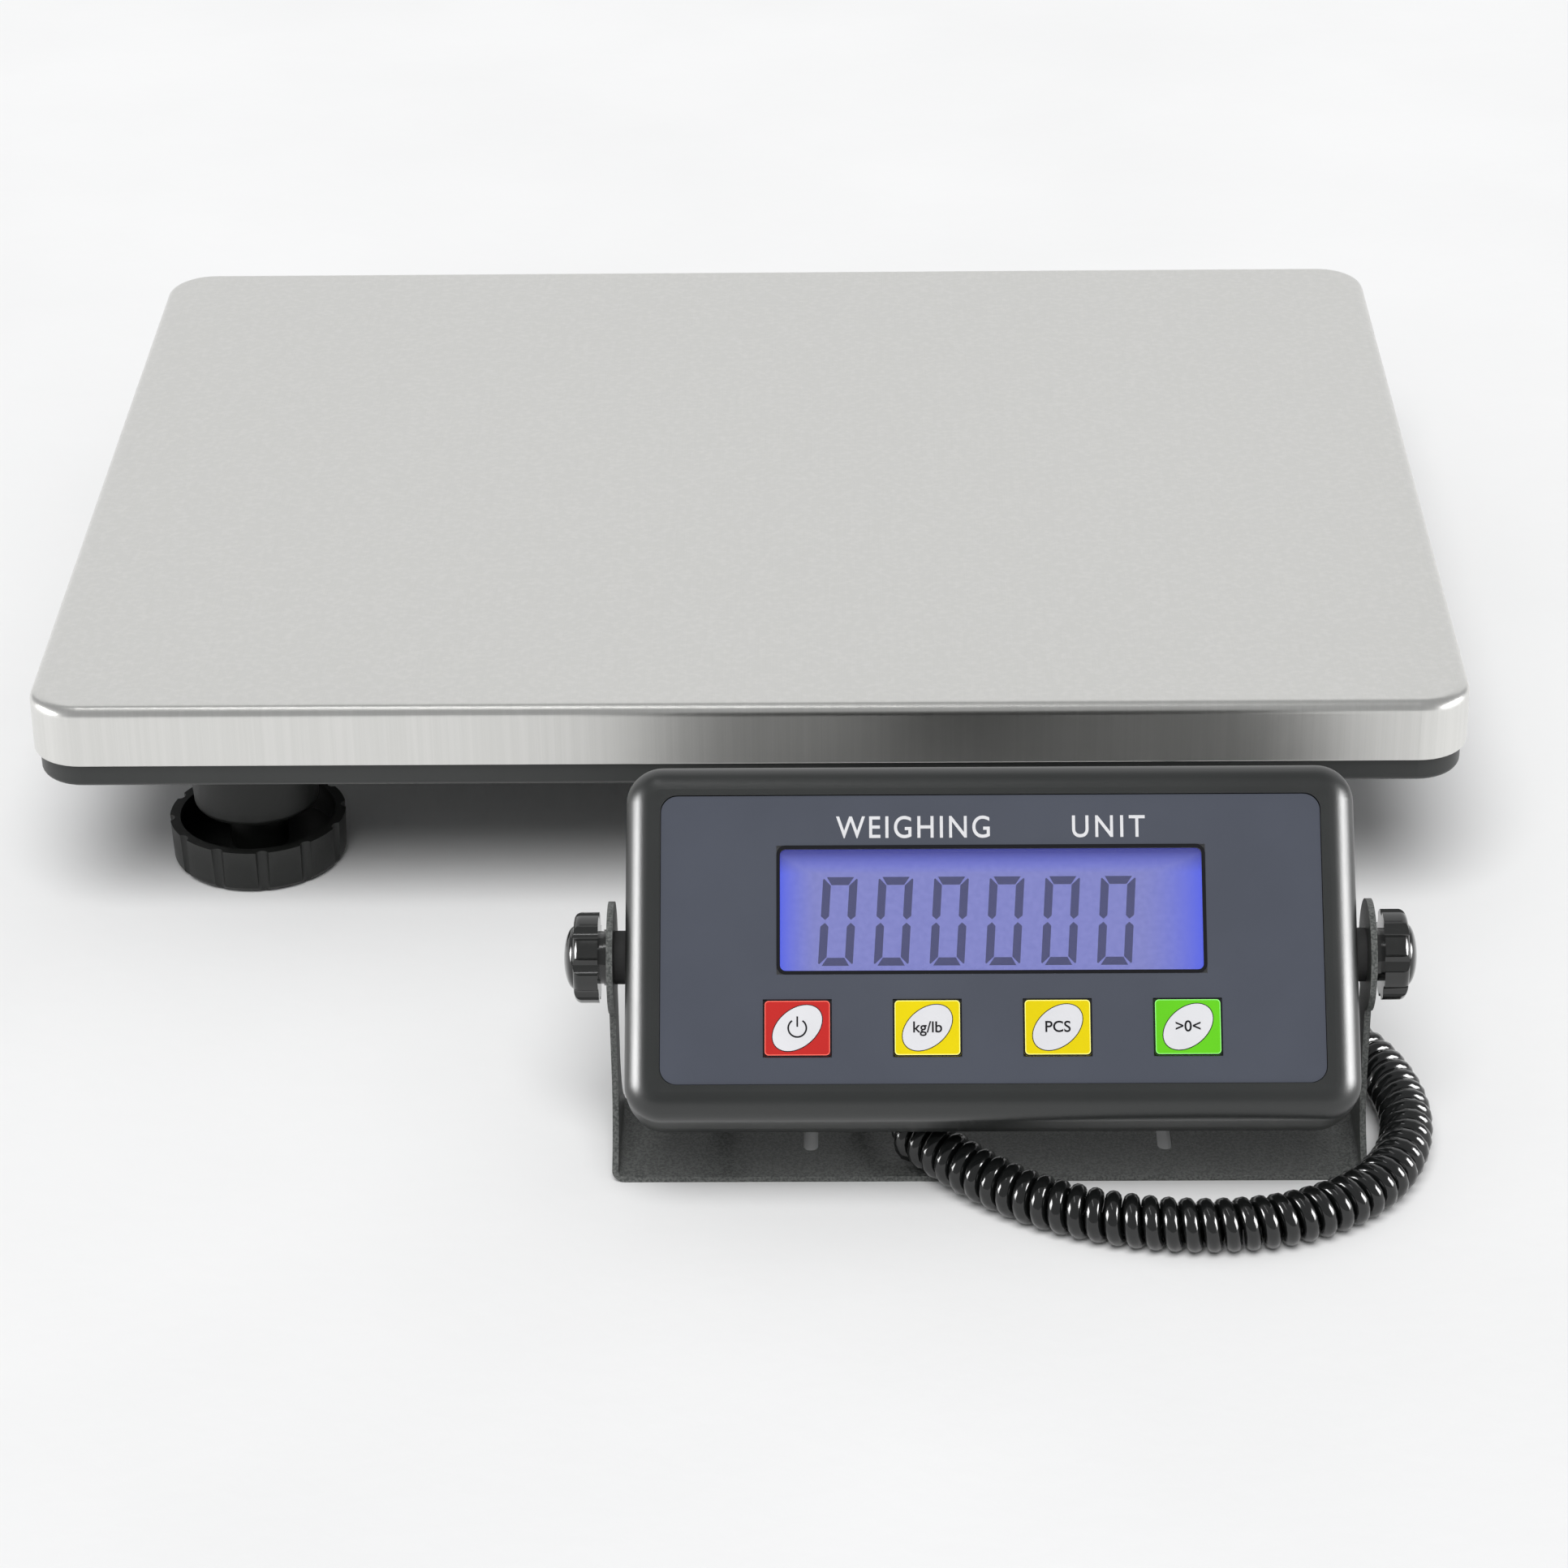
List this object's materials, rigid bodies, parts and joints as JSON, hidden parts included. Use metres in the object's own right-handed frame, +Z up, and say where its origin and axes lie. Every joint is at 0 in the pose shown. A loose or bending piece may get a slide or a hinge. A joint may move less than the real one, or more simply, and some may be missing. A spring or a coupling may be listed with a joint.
{
  "type": "platform shipping scale",
  "caption": "Low stainless platform scale on levelling feet with a curly-corded digital indicator that tilts in a U bracket.",
  "frame": {"origin": "on the surface the scale stands on, under the middle of its footprint without the cord", "axes": "+Z up; +X to the right and +Y away from the person who reads the indicator, so the platform is behind the indicator"},
  "size_m": [0.38, 0.4541, 0.0957],
  "materials": {
    "stainless": "satin, fine brushed",
    "tray_black": "satin black paint",
    "rubber_black": "matte",
    "cell_steel": "nickel plated, satin",
    "zinc_steel": "zinc plated",
    "foot_plastic": "moulded, satin",
    "board_green": "solder mask",
    "wire_sleeve": "sleeve",
    "case_black": "fine moulded satin",
    "overlay_print": "printed film, fine texture",
    "window_clear": "clear",
    "display_blue": "backlit liquid crystal",
    "backlight_white": "diffuser",
    "key_red": "printed, embossed",
    "key_yellow": "printed, embossed",
    "key_green": "printed, embossed",
    "chip_black": "moulded",
    "battery_sleeve": "printed sleeve",
    "brass": "turned",
    "bracket_black": "textured powder coat",
    "knob_black": "gloss",
    "cord_black": "gloss"
  },
  "bodies": {
    "base": {"base_tray": "tray_black", "base_beams": "tray_black", "platter_cushions": "rubber_black", "load_cell_front_left": "cell_steel", "load_cell_front_right": "cell_steel", "load_cell_rear_left": "cell_steel", "load_cell_rear_right": "cell_steel", "load_cell_screws": "zinc_steel", "foot_boss_front_left": "foot_plastic", "foot_boss_front_right": "foot_plastic", "foot_boss_rear_left": "foot_plastic", "foot_boss_rear_right": "foot_plastic", "junction_board": "board_green", "platform_wiring": "wire_sleeve", "platform_gland": "foot_plastic", "bracket": "bracket_black", "cord_coil_start": "cord_black", "cord_coil": "cord_black", "cord_tail": "cord_black"},
    "platter": {"platter": "stainless"},
    "pad_front_left": {"foot_pad_front_left": "rubber_black"},
    "knob_front_left": {"foot_knob_front_left": "foot_plastic", "foot_stud_front_left": "zinc_steel"},
    "pad_front_right": {"foot_pad_front_right": "rubber_black"},
    "knob_front_right": {"foot_knob_front_right": "foot_plastic", "foot_stud_front_right": "zinc_steel"},
    "pad_rear_left": {"foot_pad_rear_left": "rubber_black"},
    "knob_rear_left": {"foot_knob_rear_left": "foot_plastic", "foot_stud_rear_left": "zinc_steel"},
    "pad_rear_right": {"foot_pad_rear_right": "rubber_black"},
    "knob_rear_right": {"foot_knob_rear_right": "foot_plastic", "foot_stud_rear_right": "zinc_steel"},
    "case": {"front_shell": "case_black", "rear_shell": "case_black", "overlay": "overlay_print", "display_window": "window_clear", "lcd_panel": "display_blue", "backlight": "backlight_white", "main_board": "board_green", "board_parts": "chip_black", "key_switches": "chip_black", "battery_cells": "battery_sleeve", "battery_contacts": "zinc_steel", "power_jack": "chip_black", "case_screws": "zinc_steel", "pivot_inserts": "brass", "pivot_spacers": "rubber_black", "case_gland": "foot_plastic", "cord_lead": "cord_black"},
    "cover": {"battery_cover": "case_black"},
    "key_power_cap": {"key_power": "key_red"},
    "key_unit_cap": {"key_unit": "key_yellow"},
    "key_count_cap": {"key_count": "key_yellow"},
    "key_tare_cap": {"key_tare": "key_green"},
    "washer_left": {"knob_washer_left": "knob_black"},
    "star_left": {"star_knob_left": "knob_black", "knob_stud_left": "zinc_steel"},
    "washer_right": {"knob_washer_right": "knob_black"},
    "star_right": {"star_knob_right": "knob_black", "knob_stud_right": "zinc_steel"}
  },
  "joints": [
    {"name": "platter_lift", "type": "slide", "parent": "base", "child": "platter", "axis": [0, 0, 1], "range_m": [0, 0.03]},
    {"name": "foot_front_left_extend", "type": "slide", "parent": "base", "child": "pad_front_left", "axis": [0, 0, -1], "range_m": [0, 0.008]},
    {"name": "foot_front_left_turn", "type": "hinge", "parent": "pad_front_left", "child": "knob_front_left", "pos_m": [-0.137, -0.03437, 0.005], "axis": [0, 0, -1], "range_deg": [0, 1920]},
    {"name": "foot_front_right_extend", "type": "slide", "parent": "base", "child": "pad_front_right", "axis": [0, 0, -1], "range_m": [0, 0.008]},
    {"name": "foot_front_right_turn", "type": "hinge", "parent": "pad_front_right", "child": "knob_front_right", "pos_m": [0.137, -0.03437, 0.005], "axis": [0, 0, -1], "range_deg": [0, 1920]},
    {"name": "foot_rear_left_extend", "type": "slide", "parent": "base", "child": "pad_rear_left", "axis": [0, 0, -1], "range_m": [0, 0.008]},
    {"name": "foot_rear_left_turn", "type": "hinge", "parent": "pad_rear_left", "child": "knob_rear_left", "pos_m": [-0.137, 0.17363, 0.005], "axis": [0, 0, -1], "range_deg": [0, 1920]},
    {"name": "foot_rear_right_extend", "type": "slide", "parent": "base", "child": "pad_rear_right", "axis": [0, 0, -1], "range_m": [0, 0.008]},
    {"name": "foot_rear_right_turn", "type": "hinge", "parent": "pad_rear_right", "child": "knob_rear_right", "pos_m": [0.137, 0.17363, 0.005], "axis": [0, 0, -1], "range_deg": [0, 1920]},
    {"name": "case_tilt", "type": "hinge", "parent": "base", "child": "case", "pos_m": [0.06055, -0.18167, 0.0539], "axis": [1, 0, 0], "range_deg": [-20, 40], "deforming": ["cord_lead", "cord_coil_start"]},
    {"name": "battery_cover_open", "type": "hinge", "parent": "case", "child": "cover", "pos_m": [0.06055, -0.1838, 0.02941], "axis": [-1, 0, 0], "range_deg": [0, 50]},
    {"name": "key_power_press", "type": "slide", "parent": "case", "child": "key_power_cap", "axis": [0, 0.7466, -0.6652], "range_m": [0, 0.0004], "stiffness_N_per_m": 2000},
    {"name": "key_unit_press", "type": "slide", "parent": "case", "child": "key_unit_cap", "axis": [0, 0.7466, -0.6652], "range_m": [0, 0.0004], "stiffness_N_per_m": 2000},
    {"name": "key_count_press", "type": "slide", "parent": "case", "child": "key_count_cap", "axis": [0, 0.7466, -0.6652], "range_m": [0, 0.0004], "stiffness_N_per_m": 2000},
    {"name": "key_tare_press", "type": "slide", "parent": "case", "child": "key_tare_cap", "axis": [0, 0.7466, -0.6652], "range_m": [0, 0.0004], "stiffness_N_per_m": 2000},
    {"name": "clamp_left_back_off", "type": "slide", "parent": "case", "child": "washer_left", "axis": [-1, 0, 0], "range_m": [0, 0.003]},
    {"name": "clamp_left_turn", "type": "hinge", "parent": "washer_left", "child": "star_left", "pos_m": [-0.03445, -0.18167, 0.0539], "axis": [-1, 0, 0], "range_deg": [0, 1080]},
    {"name": "clamp_right_back_off", "type": "slide", "parent": "case", "child": "washer_right", "axis": [1, 0, 0], "range_m": [0, 0.003]},
    {"name": "clamp_right_turn", "type": "hinge", "parent": "washer_right", "child": "star_right", "pos_m": [0.15555, -0.18167, 0.0539], "axis": [1, 0, 0], "range_deg": [0, 1080]}
  ],
  "couplings": [
    {"joint": "foot_front_left_extend", "follows": "foot_front_left_turn", "m_per_rad": 0.0002387},
    {"joint": "foot_front_right_extend", "follows": "foot_front_right_turn", "m_per_rad": 0.0002387},
    {"joint": "foot_rear_left_extend", "follows": "foot_rear_left_turn", "m_per_rad": 0.0002387},
    {"joint": "foot_rear_right_extend", "follows": "foot_rear_right_turn", "m_per_rad": 0.0002387},
    {"joint": "clamp_left_back_off", "follows": "clamp_left_turn", "m_per_rad": 0.00015915},
    {"joint": "clamp_right_back_off", "follows": "clamp_right_turn", "m_per_rad": 0.00015915}
  ]
}
